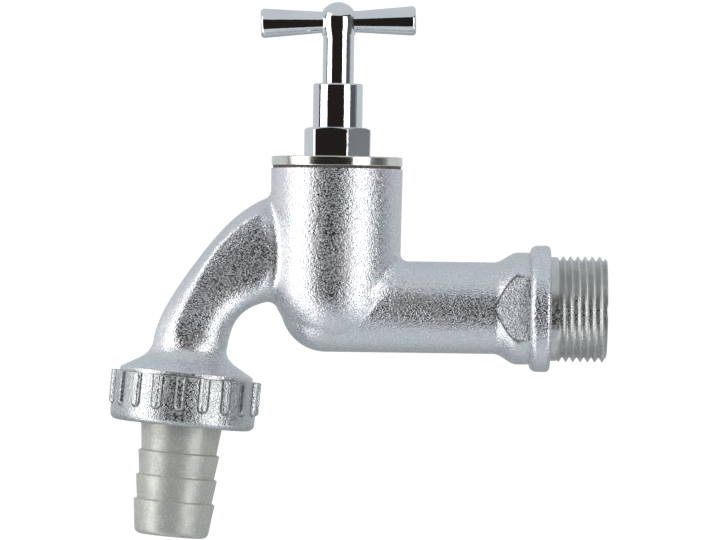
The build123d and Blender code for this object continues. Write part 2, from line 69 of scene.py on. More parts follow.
class Graph:
    """Adds nodes to one node tree and joins them up."""

    def __init__(self, tree: bpy.types.NodeTree) -> None:
        """Keep the tree that the nodes go into."""
        self.tree = tree

    def node(self, kind: str, feeds: dict[Any, Any] | None = None, **settings: Any) -> bpy.types.Node:
        """Add one node.

        Args:
            kind: Blender's name of the node type.
            feeds: a value or another node's output for each input, by its name or number.
            settings: the node's own properties.

        Returns:
            The new node.
        """
        made = self.tree.nodes.new(kind)
        for name, value in settings.items():
            setattr(made, name, value)
        for key, value in (feeds or {}).items():
            self.feed(made.inputs[key], value)
        return made

    def feed(self, socket: bpy.types.NodeSocket, value: Any) -> None:
        """Set an input or join it to another node's output.

        Args:
            socket: the input.
            value: a value, three shares of a colour, or an output to join.
        """
        if isinstance(value, bpy.types.NodeSocket):
            self.tree.links.new(value, socket)
        elif socket.type == "RGBA":
            socket.default_value = (*value, 1.0)
        else:
            socket.default_value = value

    def math(self, operation: str, *terms: Any) -> bpy.types.NodeSocket:
        """Work out one step of arithmetic on up to three numbers and return its output."""
        return self.node("ShaderNodeMath", dict(enumerate(terms)), operation=operation).outputs[0]

    def length(self, vector: Any) -> bpy.types.NodeSocket:
        """Return the length of a vector."""
        return self.node("ShaderNodeVectorMath", {0: vector}, operation="LENGTH").outputs["Value"]

    def spread(self, value: Any, low: Any, high: Any, start: Any = 0.0, end: Any = 1.0,
               smooth: bool = True) -> bpy.types.NodeSocket:
        """Map a number from one range to another.

        Args:
            value: the number to map.
            low: where the first range starts.
            high: where the first range ends.
            start: the result at low.
            end: the result at high.
            smooth: whether the ends are eased.

        Returns:
            The mapped number.
        """
        kind = "SMOOTHSTEP" if smooth else "LINEAR"
        feeds = {0: value, 1: low, 2: high, 3: start, 4: end}
        return self.node("ShaderNodeMapRange", feeds, interpolation_type=kind).outputs[0]

    def noise(self, vector: Any, scale: Any, detail: float = 2.0,
              roughness: float = 0.5) -> bpy.types.NodeSocket:
        """Return a cloudy pattern between 0 and 1, scale cells to the metre."""
        feeds = {"Vector": vector, "Scale": scale, "Detail": detail, "Roughness": roughness}
        return self.node("ShaderNodeTexNoise", feeds).outputs[0]

    def between(self, share: Any, first: Any, second: Any) -> bpy.types.NodeSocket:
        """Return the number that lies between two others by a share between 0 and 1."""
        return self.node("ShaderNodeMix", {0: share, 2: first, 3: second}).outputs[0]

    def blend(self, share: Any, first: Any, second: Any) -> bpy.types.NodeSocket:
        """Blend two colours by a share between 0 and 1 and return the colour."""
        return self.node("ShaderNodeMix", {0: share, 6: first, 7: second}, data_type="RGBA").outputs[2]

    def effect(self, group: bpy.types.NodeTree, feeds: dict[str, Any]) -> Any:
        """Place a shader group with its own values and return its outputs."""
        return self.node("ShaderNodeGroup", feeds, node_tree=group).outputs


def new_group(name: str, kind: str, inputs: dict[str, tuple[str, float | None]],
              outputs: dict[str, str]) -> tuple[Graph, bpy.types.Node, bpy.types.Node]:
    """Start a node group with named sockets.

    Args:
        name: the group's name.
        kind: the tree type, for shaders or for geometry.
        inputs: socket type and first value of each input, by its name.
        outputs: socket type of each output, by its name.

    Returns:
        The graph of the group, its input node and its output node.
    """
    tree = bpy.data.node_groups.new(name, kind)
    for label, (socket_type, value) in inputs.items():
        socket = tree.interface.new_socket(name=label, in_out="INPUT", socket_type=socket_type)
        if value is not None:
            socket.default_value = value
    for label, socket_type in outputs.items():
        tree.interface.new_socket(name=label, in_out="OUTPUT", socket_type=socket_type)
    graph = Graph(tree)
    return graph, graph.node("NodeGroupInput"), graph.node("NodeGroupOutput")


def new_material(name: str) -> tuple[bpy.types.Material, Graph, Any]:
    """Start a material.

    Args:
        name: the material's name.

    Returns:
        The material, its graph and the nodes that it starts with.
    """
    made = bpy.data.materials.new(name)
    made.use_nodes = True
    return made, Graph(made.node_tree), made.node_tree.nodes


class Effects:
    """Shader groups that more than one finish uses."""

    COARSE_RATIO = 0.4
    GRAIN_EDGES = (0.4, 0.62)
    CLOUD_EDGES = (0.36, 0.64)
    RINGS_PER_PITCH = 0.5

    def __init__(self) -> None:
        """Build each group once."""
        self.cast_grain = self._cast_grain()
        self.turning_marks = self._turning_marks()
        self.handling_marks = self._handling_marks()
        self.flecks = self._flecks()

    def _group(self, name: str, sizes: dict[str, float], *results: str) -> tuple[Graph, Any, Any]:
        """Start a shader group.

        Args:
            name: the group's name.
            sizes: the first value of each input, beside the place on the piece.
            results: the names of the outputs.

        Returns:
            The group's graph, the outputs of its input node and the inputs of its output node.
        """
        inputs = {"Vector": ("NodeSocketVector", None)}
        inputs.update({label: ("NodeSocketFloat", value) for label, value in sizes.items()})
        outputs = {label: "NodeSocketFloat" for label in results}
        graph, start, end = new_group(name, "ShaderNodeTree", inputs, outputs)
        return graph, start.outputs, end.inputs

    def _cast_grain(self) -> bpy.types.NodeTree:
        """Build the dimpled skin that shot blasting leaves under the plating.

        Returns:
            The group.
        """
        sizes = {
            "Grain Size": 0.0004, "Grain Height": 0.0001, "Coarse Share": 0.3, "Wave Size": 0.006,
            "Wave Height": 0.0002,
        }
        graph, given, result = self._group("cast_grain", sizes, "Height", "Mask")
        place, size = given["Vector"], given["Grain Size"]
        fine = graph.noise(place, graph.math("DIVIDE", 1.0, size), detail=1.0)
        coarse = graph.noise(place, graph.math("DIVIDE", self.COARSE_RATIO, size), detail=0.0)
        wave = graph.noise(place, graph.math("DIVIDE", 1.0, given["Wave Size"]), detail=1.0)
        grain = graph.math("MULTIPLY_ADD", coarse, given["Coarse Share"], fine)
        height = graph.math("MULTIPLY", grain, given["Grain Height"])
        graph.feed(result["Height"], graph.math("MULTIPLY_ADD", wave, given["Wave Height"], height))
        graph.feed(result["Mask"], graph.spread(fine, *self.GRAIN_EDGES))
        return graph.tree

    def _turning_marks(self) -> bpy.types.NodeTree:
        """Build the fine rings that a lathe tool leaves round the Z axis of the vector.

        Returns:
            The group.
        """
        graph, given, result = self._group("turning_marks", {"Pitch": 0.0003, "Depth": 0.00001}, "Height")
        parts = graph.node("ShaderNodeSeparateXYZ", {0: given["Vector"]}).outputs
        across = graph.node("ShaderNodeCombineXYZ", {0: parts[0], 1: parts[1]}).outputs[0]
        ring = graph.node("ShaderNodeCombineXYZ", {0: graph.length(across), 1: 0.0, 2: parts[2]}).outputs[0]
        scale = graph.math("DIVIDE", self.RINGS_PER_PITCH, given["Pitch"])
        rings = graph.noise(ring, scale, detail=3.0, roughness=0.6)
        graph.feed(result["Height"], graph.math("MULTIPLY", rings, given["Depth"]))
        return graph.tree

    def _handling_marks(self) -> bpy.types.NodeTree:
        """Build the faint clouds that hands, storage and plating leave on metal.

        Returns:
            The group.
        """
        graph, given, result = self._group("handling_marks", {"Size": 0.01}, "Mask")
        scale = graph.math("DIVIDE", 1.0, given["Size"])
        clouds = graph.noise(given["Vector"], scale, detail=4.0, roughness=0.6)
        graph.feed(result["Mask"], graph.spread(clouds, *self.CLOUD_EDGES))
        return graph.tree

    def _flecks(self) -> bpy.types.NodeTree:
        """Build scattered flakes, such as a metallic pigment shows in moulded plastic.

        Returns:
            The group.
        """
        graph, given, result = self._group("flecks", {"Size": 0.0005, "Share": 0.3}, "Mask")
        scale = graph.math("DIVIDE", 1.0, given["Size"])
        cells = graph.node("ShaderNodeTexVoronoi", {"Vector": given["Vector"], "Scale": scale})
        tone = graph.node("ShaderNodeSeparateColor", {0: cells.outputs["Color"]}).outputs[0]
        floor = graph.math("SUBTRACT", 1.0, given["Share"])
        graph.feed(result["Mask"], graph.spread(tone, floor, 1.0, smooth=False))
        return graph.tree


@dataclass(frozen=True)
class AxisFrame:
    """A place and a direction that marks and threads run round."""

    origin: Vector
    direction: Vector

    @property
    def turn(self) -> Matrix:
        """Rotation that brings Z onto the direction."""
        return self.direction.to_track_quat("Z", "Y").to_matrix()

    @property
    def matrix(self) -> Matrix:
        """Move and rotation that bring the Z axis onto this axis."""
        return Matrix.Translation(self.origin) @ self.turn.to_4x4()

    def along(self, distance: float) -> Vector:
        """Point on the axis at a distance from its origin."""
        return self.origin + self.direction * distance


@dataclass(frozen=True)
class Finish:
    """A plated or bare metal surface, unless its fields say otherwise."""

    name: str
    tint: tuple[float, float, float]
    shade: tuple[float, float, float]
    roughness: float
    dull: float
    metallic: float = 1.0
    scatter: float = 0.0
    grain_size: float = 0.0004
    grain_height: float = 0.0
    coarse_share: float = 0.3
    wave_size: float = 0.006
    wave_height: float = 0.0
    mark_pitch: float = 0.0003
    mark_depth: float = 0.0
    cloud_size: float = 0.008
    fleck: tuple[float, float, float] | None = None
    fleck_size: float = 0.0005
    fleck_share: float = 0.3
    painted_shade_tint: tuple[float, float, float] | None = None

    def material(self, effects: Effects, axis: AxisFrame) -> bpy.types.Material:
        """Build the material.

        Args:
            effects: the shared shader groups.
            axis: the axis that turning marks run round.

        Returns:
            The material with its own nodes.
        """
        made, graph, nodes = new_material(self.name)
        shader = nodes["Principled BSDF"].inputs
        shader["Metallic"].default_value = self.metallic
        place = graph.node("ShaderNodeTexCoord").outputs["Object"]
        feeds = {"Vector": place, "Size": self.cloud_size}
        clouds = graph.effect(effects.handling_marks, feeds)["Mask"]
        colour = graph.blend(clouds, self.tint, self.shade)
        if self.fleck:
            feeds = {"Vector": place, "Size": self.fleck_size, "Share": self.fleck_share}
            colour = graph.blend(graph.effect(effects.flecks, feeds)["Mask"], colour, self.fleck)
        # Painted shade: darken the colour towards the painted shade tint by the stored point layer.
        if self.painted_shade_tint:
            edges = graph.node("ShaderNodeAttribute", attribute_name=PAINTED_SHADE_LAYER).outputs["Fac"]
            colour = graph.blend(edges, colour, self.painted_shade_tint)
        graph.feed(shader["Base Color"], colour)
        graph.feed(shader["Roughness"], graph.spread(clouds, 0.0, 1.0, self.roughness, self.dull))
        heights = []
        if self.grain_height or self.wave_height:
            feeds = {
                "Vector": place, "Grain Size": self.grain_size, "Grain Height": self.grain_height,
                "Coarse Share": self.coarse_share, "Wave Size": self.wave_size,
                "Wave Height": self.wave_height,
            }
            grain = graph.effect(effects.cast_grain, feeds)
            heights.append(grain["Height"])
            if self.scatter:
                pitted = self.metallic - self.scatter
                graph.feed(shader["Metallic"], graph.spread(grain["Mask"], 0.0, 1.0, self.metallic, pitted))
        if self.mark_depth:
            feeds = {"Vector": place, "Location": axis.origin, "Rotation": axis.turn.to_euler()}
            centred = graph.node("ShaderNodeMapping", feeds, vector_type="TEXTURE").outputs[0]
            feeds = {"Vector": centred, "Pitch": self.mark_pitch, "Depth": self.mark_depth}
            heights.append(graph.effect(effects.turning_marks, feeds)["Height"])
        if heights:
            height = heights[0] if len(heights) == 1 else graph.math("ADD", *heights)
            bump = graph.node("ShaderNodeBump", {"Height": height, "Strength": 1.0, "Distance": 1.0})
            graph.feed(shader["Normal"], bump.outputs["Normal"])
        return made


@dataclass(frozen=True)
class MouldedFinish(Finish):
    """A moulded or cut plastic, rubber or fibre surface."""

    metallic: float = 0.0
    grain_size: float = 0.0006
    grain_height: float = 0.00003
    cloud_size: float = 0.004


# The dark tint below is painted shade for rib feet and wrench-flat rims; the milled flats and the nut
# inherit it.
BLASTED_CHROME = Finish(
    "blasted_chrome_finish", tint=(0.69, 0.72, 0.74), shade=(0.73, 0.72, 0.75), roughness=0.24, dull=0.28,
    scatter=0.4, grain_size=0.00038, grain_height=0.00015, coarse_share=0.35, wave_size=0.007,
    wave_height=0.00008, painted_shade_tint=(0.10, 0.10, 0.11),
)
MILLED_FLAT = replace(
    BLASTED_CHROME, name="milled_flat_finish", tint=(0.78, 0.80, 0.82), shade=(0.74, 0.75, 0.77),
    roughness=0.34, dull=0.38, scatter=0.8, grain_height=0.0002,
)
NUT_CHROME = replace(
    BLASTED_CHROME, name="nut_chrome_finish", tint=(0.57, 0.59, 0.60), shade=(0.52, 0.54, 0.55), scatter=0.5,
)
POLISHED_CHROME = Finish(
    "polished_chrome_finish", tint=(0.84, 0.85, 0.86), shade=(0.80, 0.80, 0.82), roughness=0.035, dull=0.06,
    grain_size=0.0012, grain_height=0.000012, mark_pitch=0.0003, mark_depth=0.0000035,
)
MACHINED_THREAD = Finish(
    "machined_thread_finish", tint=(0.68, 0.685, 0.675), shade=(0.58, 0.585, 0.57), roughness=0.25,
    dull=0.33, scatter=0.3, grain_size=0.0006, grain_height=0.00002, mark_pitch=0.00012, mark_depth=0.000012,
)
RING_CHROME = Finish(
    "ring_chrome_finish", tint=(0.86, 0.84, 0.78), shade=(0.78, 0.75, 0.68), roughness=0.13, dull=0.2,
    grain_size=0.0015, grain_height=0.00003, mark_pitch=0.0002, mark_depth=0.000005,
)
SATIN_STEEL = Finish(
    "satin_steel_finish", tint=(0.58, 0.58, 0.59), shade=(0.46, 0.46, 0.47), roughness=0.28, dull=0.4,
    mark_pitch=0.0001, mark_depth=0.000006,
)
TURNED_BRASS = Finish(
    "turned_brass_finish", tint=(0.80, 0.62, 0.30), shade=(0.66, 0.49, 0.22), roughness=0.22, dull=0.34,
    mark_pitch=0.00015, mark_depth=0.000008,
)
MOULDED_TAIL = MouldedFinish(
    "moulded_tail_finish", tint=(0.55, 0.56, 0.51), shade=(0.51, 0.52, 0.48), fleck=(0.70, 0.695, 0.62),
    roughness=0.44, dull=0.50, metallic=0.5, fleck_size=0.00028, fleck_share=0.35,
)
SOFT_RUBBER = MouldedFinish(
    "soft_rubber_finish", tint=(0.025, 0.025, 0.026), shade=(0.045, 0.044, 0.043), fleck=(0.08, 0.08, 0.08),
    roughness=0.55, dull=0.7, fleck_share=0.1,
)
PRESSED_FIBRE = MouldedFinish(
    "pressed_fibre_finish", tint=(0.06, 0.055, 0.05), shade=(0.10, 0.09, 0.08), fleck=(0.18, 0.16, 0.13),
    roughness=0.7, dull=0.85, fleck_size=0.0003,
)
SLIP_NYLON = MouldedFinish(
    "slip_nylon_finish", tint=(0.80, 0.80, 0.77), shade=(0.74, 0.73, 0.69), fleck=(0.85, 0.85, 0.83),
    roughness=0.4, dull=0.5, fleck_share=0.15,
)


def joint(name: str) -> dict[str, Any]:
    """Return the record's joint of this name."""
    return next(each for each in frame["joints"] if each["name"] == name)


def dress(node: str, material: bpy.types.Material) -> None:
    """Put a material on a node of the solids.

    Args:
        node: the node's name.
        material: its material.
    """
    for place in frame["nodes"][node].material_slots:
        place.material = material
    LOG.info("%s keeps its solid, in %s", node, material.name)


def new_piece(name: str, mesh: bpy.types.Mesh) -> bpy.types.Object:
    """Make an object for a mesh and put it in the scene.

    Args:
        name: the piece's name.
        mesh: its mesh.

    Returns:
        The piece.
    """
    piece = bpy.data.objects.new(name, mesh)
    bpy.context.scene.collection.objects.link(piece)
    return piece


def edit(mesh: bpy.types.Mesh, steps: Iterable[Callable[[bmesh.types.BMesh], None]]) -> None:
    """Run steps on a mesh in edit form and write it back.

    Args:
        mesh: the mesh.
        steps: the changes, in order.
    """
    form = bmesh.new()
    form.from_mesh(mesh)
    for step in steps:
        step(form)
    form.to_mesh(mesh)
    form.free()


def eased(value: float, low: float, high: float) -> float:
    """Map a number between two limits to 0 to 1, with eased ends."""
    share = min(1.0, max(0.0, (value - low) / (high - low)))
    return share * share * (3.0 - 2.0 * share)


def weld(form: bmesh.types.BMesh) -> None:
    """Join points that lie on each other."""
    bmesh.ops.remove_doubles(form, verts=form.verts, dist=WELD_GAP)


def face_out(form: bmesh.types.BMesh) -> None:
    """Turn every face outwards."""
    bmesh.ops.recalc_face_normals(form, faces=form.faces)


def cut_across(form: bmesh.types.BMesh, place: Vector, normal: Vector,
               parts: list[Any] | None = None) -> None:
    """Cut a mesh along a plane, everywhere or in some of its parts only."""
    everything = form.verts[:] + form.edges[:] + form.faces[:]
    bmesh.ops.bisect_plane(form, geom=parts or everything, plane_co=place, plane_no=normal)


def set_radius(point: bmesh.types.BMVert, radius: float) -> None:
    """Move a point to a distance from the X axis.

    Args:
        point: the point.
        radius: the distance.
    """
    scale = radius / math.hypot(point.co.y, point.co.z)
    point.co.y *= scale
    point.co.z *= scale


def smooth(mesh: bpy.types.Mesh, crease: float) -> None:
    """Shade a mesh smoothly by its faces alone, but for its sharp edges.

    Args:
        mesh: the mesh.
        crease: the angle in degrees past which an edge stays sharp.
    """
    if "custom_normal" in mesh.attributes:
        mesh.attributes.remove(mesh.attributes["custom_normal"])
    mesh.shade_smooth()
    mesh.set_sharp_from_angle(angle=math.radians(crease))


def copy_of(node: str, name: str, *steps: Callable[[bmesh.types.BMesh], None]) -> bpy.types.Object:
    """Copy a node's solid as a merged mesh that keeps its shading.

    Args:
        node: the node of the solids.
        name: the new piece's name.
        steps: changes to the merged mesh, in edit form with its normals in a layer of their own.

    Returns:
        The new piece, at the node's place and with no material.
    """
    mesh = frame["nodes"][node].data.copy()
    mesh.name = name
    mesh.materials.clear()
    kept = mesh.attributes.new(NORMAL_LAYER, "FLOAT_VECTOR", "CORNER")
    kept.data.foreach_set("vector", [part for corner in mesh.corner_normals for part in corner.vector])
    edit(mesh, [weld, *steps])
    normals = [corner.vector.copy() for corner in mesh.attributes[NORMAL_LAYER].data]
    mesh.attributes.remove(mesh.attributes[NORMAL_LAYER])
    mesh.normals_split_custom_set(normals)
    return new_piece(name, mesh)


def hand_over(piece: bpy.types.Object, body: str, slot: Slot, *materials: bpy.types.Material) -> None:
    """Give a piece its body and its materials.

    Args:
        piece: the piece.
        body: the body that it rides.
        slot: its material slot; not used.
        materials: its materials, in the order of the faces' numbers.
    """
    for material in materials:
        piece.data.materials.append(material)
    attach(piece, body)
    LOG.info("%s rides %s, %d faces", piece.name, body, len(piece.data.polygons))


def flat_grid(graph: Graph, columns: Any, rows: Any) -> tuple[bpy.types.NodeSocket, ...]:
    """Add a grid of one by one and read its points' places on it.

    Args:
        graph: the geometry tree.
        columns: the number of points along X.
        rows: the number of points along Y.

    Returns:
        The grid, each point's share of the way along X, and its row.
    """
    feeds = {"Size X": 1.0, "Size Y": 1.0, "Vertices X": columns, "Vertices Y": rows}
    grid = graph.node("GeometryNodeMeshGrid", feeds)
    place = graph.node("ShaderNodeSeparateXYZ", {0: graph.node("GeometryNodeInputPosition").outputs[0]})
    around = graph.math("ADD", place.outputs[0], 0.5)
    last = graph.math("SUBTRACT", rows, 1.0)
    row = graph.math("ROUND", graph.math("MULTIPLY", graph.math("ADD", place.outputs[1], 0.5), last))
    return grid.outputs[0], around, row


def wrap_round(graph: Graph, grid: Any, around: Any, radius: Any, level: Any,
               finish: Any) -> bpy.types.NodeSocket:
    """Wrap a grid round the Z axis as one closed skin.

    Args:
        graph: the geometry tree.
        grid: the grid to wrap.
        around: each point's share of the turn.
        radius: each point's distance from the axis.
        level: each point's height along the axis.
        finish: the material.

    Returns:
        The joined and dressed skin.
    """
    angle = graph.math("MULTIPLY", around, math.tau)
    across = graph.math("MULTIPLY", radius, graph.math("COSINE", angle))
    aside = graph.math("MULTIPLY", radius, graph.math("SINE", angle))
    spot = graph.node("ShaderNodeCombineXYZ", {0: across, 1: aside, 2: level}).outputs[0]
    skin = graph.node("GeometryNodeSetPosition", {"Geometry": grid, "Position": spot}).outputs[0]
    skin = graph.node("GeometryNodeMergeByDistance", {"Geometry": skin, "Distance": WELD_GAP}).outputs[0]
    skin = graph.node("GeometryNodeRealizeInstances", {"Geometry": skin}).outputs[0]
    return graph.node("GeometryNodeSetMaterial", {"Geometry": skin, "Material": finish}).outputs[0]


class Skin:
    """A closed skin that geometry nodes wrap round an axis, with its sizes as their inputs."""

    axis: AxisFrame
    TREE = ""
    SIZES: tuple[str, ...] = ()
    CREASE = 38.0

    def _tree(self) -> bpy.types.NodeTree:
        """Build the geometry nodes, which each kind of skin has of its own."""
        raise NotImplementedError

    def _values(self) -> dict[str, float]:
        """Return the sizes by the names that the nodes' inputs have."""
        return {field.replace("_", " ").title(): getattr(self, field) for field in self.SIZES}

    def _start(self, *forms: str) -> tuple[Graph, bpy.types.Node, bpy.types.Node]:
        """Start the node group, with an input for each form, each size and the finish.

        Args:
            forms: the names of the inputs that take a mesh.

        Returns:
            The graph of the group, its input node and its output node.
        """
        inputs = {name: ("NodeSocketGeometry", None) for name in forms}
        for name, value in self._values().items():
            inputs[name] = ("NodeSocketInt" if isinstance(value, int) else "NodeSocketFloat", None)
        inputs["Finish"] = ("NodeSocketMaterial", None)
        return new_group(self.TREE, "GeometryNodeTree", inputs, {"Geometry": "NodeSocketGeometry"})

    def grow(self, name: str, form: bpy.types.Mesh, finish: bpy.types.Material) -> bpy.types.Object:
        """Run the nodes on a mesh and put the skin on its axis.

        Args:
            name: the new piece's name.
            form: the mesh that goes into the nodes.
            finish: the skin's material.

        Returns:
            The piece as a plain mesh.
        """
        values = {**self._values(), "Finish": finish}
        seed = new_piece(f"{name}_seed", form)
        modifier = seed.modifiers.new("grow", "NODES")
        modifier.node_group = bpy.data.node_groups.get(self.TREE) or self._tree()
        for socket in modifier.node_group.interface.items_tree:
            if socket.item_type == "SOCKET" and socket.in_out == "INPUT" and socket.name in values:
                modifier[socket.identifier] = values[socket.name]
        graph = bpy.context.evaluated_depsgraph_get()
        mesh = bpy.data.meshes.new_from_object(seed.evaluated_get(graph), depsgraph=graph)
        mesh.name = name
        seed.modifiers.remove(modifier)
        bpy.data.objects.remove(seed)
        edit(mesh, [weld, face_out])
        smooth(mesh, self.CREASE)
        mesh.transform(self.axis.matrix)
        return new_piece(name, mesh)


@dataclass(frozen=True)
class PipeThread(Skin):
    """A cut pipe thread, as a closed sleeve round its own axis."""

    name: str
    axis: AxisFrame
    outer_radius: float
    inner_radius: float
    plain_radius: float
    pitch: float
    depth: float
    length: float
    fade_start: float
    fade_end: float
    chamfer: float
    columns: int = 128
    rows_per_turn: int = 12

    TREE = "cut_thread"
    SIZES = (
        "outer_radius", "inner_radius", "plain_radius", "pitch", "depth", "length", "fade_start", "fade_end",
        "chamfer", "columns", "rows_per_turn",
    )
    CLOSING_ROWS = 4.0
    FLANK = (0.1, 0.9)

    def _tree(self) -> bpy.types.NodeTree:
        """Build the geometry nodes that cut a thread.

        A grid is wrapped round the axis. Its rows climb by one pitch in a turn, so each row stays on
        the same line of the thread. The first row and the last two close the sleeve on its inside.

        Returns:
            The node group.
        """
        graph, start, end = self._start()
        size = start.outputs
        work = graph.math
        turns = work("ADD", work("CEIL", work("DIVIDE", size["Length"], size["Pitch"])), 1.0)
        rows = work("ADD", work("MULTIPLY", turns, size["Rows Per Turn"]), self.CLOSING_ROWS)
        grid, around, row = flat_grid(graph, size["Columns"], rows)
        step = work("DIVIDE", work("SUBTRACT", row, 1.0), size["Rows Per Turn"])
        climb = work("MULTIPLY", work("ADD", work("SUBTRACT", step, 1.0), around), size["Pitch"])
        reach = work("MINIMUM", work("MAXIMUM", climb, 0.0), size["Length"])
        phase = work("FRACT", work("SUBTRACT", work("DIVIDE", reach, size["Pitch"]), around))
        ridge = work("SUBTRACT", 1.0, work("ABSOLUTE", work("MULTIPLY_ADD", phase, 2.0, -1.0)))
        groove = work("SUBTRACT", 1.0, graph.spread(ridge, *self.FLANK, smooth=False))
        cut = work("SUBTRACT", size["Outer Radius"], work("MULTIPLY", groove, size["Depth"]))
        fade = graph.spread(reach, size["Fade Start"], size["Fade End"])
        drop = work("SUBTRACT", cut, size["Plain Radius"])
        threaded = work("MULTIPLY_ADD", drop, fade, size["Plain Radius"])
        edge = work("SUBTRACT", size["Length"], size["Chamfer"])
        slope = work("MAXIMUM", work("SUBTRACT", reach, edge), 0.0)
        outside = work("MINIMUM", threaded, work("SUBTRACT", size["Outer Radius"], slope))
        first = work("LESS_THAN", row, 0.5)
        turning = work("GREATER_THAN", row, work("SUBTRACT", rows, 2.5))
        closing = work("GREATER_THAN", row, work("SUBTRACT", rows, 1.5))
        radius = graph.between(work("MAXIMUM", first, turning), outside, size["Inner Radius"])
        level = graph.between(turning, reach, size["Length"])
        level = graph.between(work("MAXIMUM", first, closing), level, 0.0)
        graph.feed(end.inputs[0], wrap_round(graph, grid, around, radius, level, size["Finish"]))
        return graph.tree

    def build(self, material: bpy.types.Material) -> bpy.types.Object:
        """Cut the thread in a metal and return it."""
        return self.grow(self.name, bpy.data.meshes.new(f"{self.name}_seed"), material)


@dataclass
class RibbedNut(Skin):
    """Union nut: a thin cup with grip ribs above a plain rounded band."""

    axis: AxisFrame
    outer_radius: float = 0.018105
    bore_radius: float = 0.016705
    hole_radius: float = 0.0104
    top: float = 0.0044
    bottom: float = 0.0167
    lip: float = 0.0018
    edge_radius: float = 0.0018
    rim_radius: float = 0.00025
    rim_turns: tuple[float, ...] = (0.0, 45.0)
    rib_count: int = 19
    rib_height: float = 0.00075
    rib_foot: float = 0.0013
    rib_crown: float = 0.00065
    rib_end: float = 0.0129
    rib_bearing: float = -2.0
    rib_shadow: float = 0.00032
    row_step: float = 0.0003
    arc_rows: int = 8
    columns_per_rib: int = 36

    TREE = "ribbed_wall"
    SIZES = (
        "outer_radius", "rib_count", "rib_height", "rib_foot", "rib_crown", "rib_end", "rib_turn",
        "rib_shadow", "columns",
    )

    @property
    def columns(self) -> int:
        """Points round the nut, with the first one met again at the end."""
        return self.rib_count * self.columns_per_rib + 1

    @property
    def rib_turn(self) -> float:
        """Tell where round the axis the rib nearest to the viewer stands.

        Returns:
            The share of a turn.
        """
        bearing = math.radians(self.rib_bearing)
        near = self.axis.turn.transposed() @ Vector((math.sin(bearing), -math.cos(bearing), 0.0))
        return math.atan2(near.y, near.x) / math.tau

    def _tree(self) -> bpy.types.NodeTree:
        """Build the geometry nodes that wrap a section round an axis and raise ribs on its wall.

        The section comes in as points: X is the radius, Y says whether ribs stand there and Z is the
        level. A rib falls off with the distance from its centre line, so its lower end is round.

        Returns:
            The node group.
        """
        graph, start, end = self._start("Section")
        size = start.outputs
        work = graph.math
        points = graph.node("GeometryNodeAttributeDomainSize", {"Geometry": size["Section"]})
        grid, around, row = flat_grid(graph, size["Columns"], points.outputs["Point Count"])
        position = graph.node("GeometryNodeInputPosition").outputs[0]
        feeds = {"Geometry": size["Section"], "Value": position, "Index": row}
        sample = graph.node("GeometryNodeSampleIndex", feeds, data_type="FLOAT_VECTOR").outputs[0]
        across, ribbed, level = graph.node("ShaderNodeSeparateXYZ", {0: sample}).outputs
        turns = work("MULTIPLY", work("SUBTRACT", around, size["Rib Turn"]), size["Rib Count"])
        offset = work("SUBTRACT", work("FRACT", work("ADD", turns, 0.5)), 0.5)
        girth = work("MULTIPLY", size["Outer Radius"], math.tau)
        side = work("MULTIPLY", offset, work("DIVIDE", girth, size["Rib Count"]))
        centre_end = work("SUBTRACT", size["Rib End"], size["Rib Foot"])
        past = work("MAXIMUM", work("SUBTRACT", level, centre_end), 0.0)
        away = work("SQRT", work("ADD", work("MULTIPLY", side, side), work("MULTIPLY", past, past)))
        rise = graph.spread(away, size["Rib Crown"], size["Rib Foot"], size["Rib Height"], 0.0)
        radius = work("MULTIPLY_ADD", rise, ribbed, across)
        # Painted shadow: a dark band along each rib's foot, stored in a point layer that darkens the nut's
        # colour.
        off_foot = work("ABSOLUTE", work("SUBTRACT", away, size["Rib Foot"]))
        shadow = work("MULTIPLY", graph.spread(off_foot, 0.0, size["Rib Shadow"], 1.0, 0.0), ribbed)
        feeds = {"Geometry": grid, "Name": PAINTED_SHADE_LAYER, "Value": shadow}
        marked = graph.node("GeometryNodeStoreNamedAttribute", feeds, data_type="FLOAT", domain="POINT")
        skin = wrap_round(graph, marked.outputs[0], around, radius, level, size["Finish"])
        graph.feed(end.inputs[0], skin)
        return graph.tree

    def build(self, finish: bpy.types.Material) -> None:
        """Build the nut round its axis and hand it over.

        Args:
            finish: the nut's material.
        """
        seed = bpy.data.meshes.new("nut_section")
        seed.from_pydata(self._section(), [], [])
        nut = self.grow("ribbed_nut", seed, finish)
        hand_over(nut, "nut", Slot.BLASTED)
        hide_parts("union_nut")

    def _section(self) -> list[Vector]:
        """Set out the closed section, from the bore's top over the rim, wall and lip back to it.

        Returns:
            The section's points: radius, whether ribs stand there, and level.
        """
        wall_top = self.top + self.rim_radius
        wall_bottom = self.bottom - self.edge_radius
        lip_top = self.bottom - self.lip
        rows = math.ceil((wall_bottom - wall_top) / self.row_step)
        outline = [Vector((self.bore_radius, 0.0, self.top))]
        for turn in self.rim_turns:
            angle = math.radians(turn)
            back = self.rim_radius * (1.0 - math.sin(angle))
            drop = self.rim_radius * (1.0 - math.cos(angle))
            outline.append(Vector((self.outer_radius - back, 1.0, self.top + drop)))
        for row in range(rows):
            level = wall_top + (wall_bottom - wall_top) * row / rows
            outline.append(Vector((self.outer_radius, 1.0, level)))
        for row in range(self.arc_rows + 1):
            angle = math.radians(90.0) * row / self.arc_rows
            back = self.edge_radius * (1.0 - math.cos(angle))
            level = wall_bottom + self.edge_radius * math.sin(angle)
            outline.append(Vector((self.outer_radius - back, 1.0, level)))
        outline.append(Vector((self.hole_radius, 0.0, self.bottom)))
        outline.append(Vector((self.hole_radius, 0.0, lip_top)))
        outline.append(Vector((self.bore_radius, 0.0, lip_top)))
        outline.append(Vector((self.bore_radius, 0.0, self.top)))
        return outline


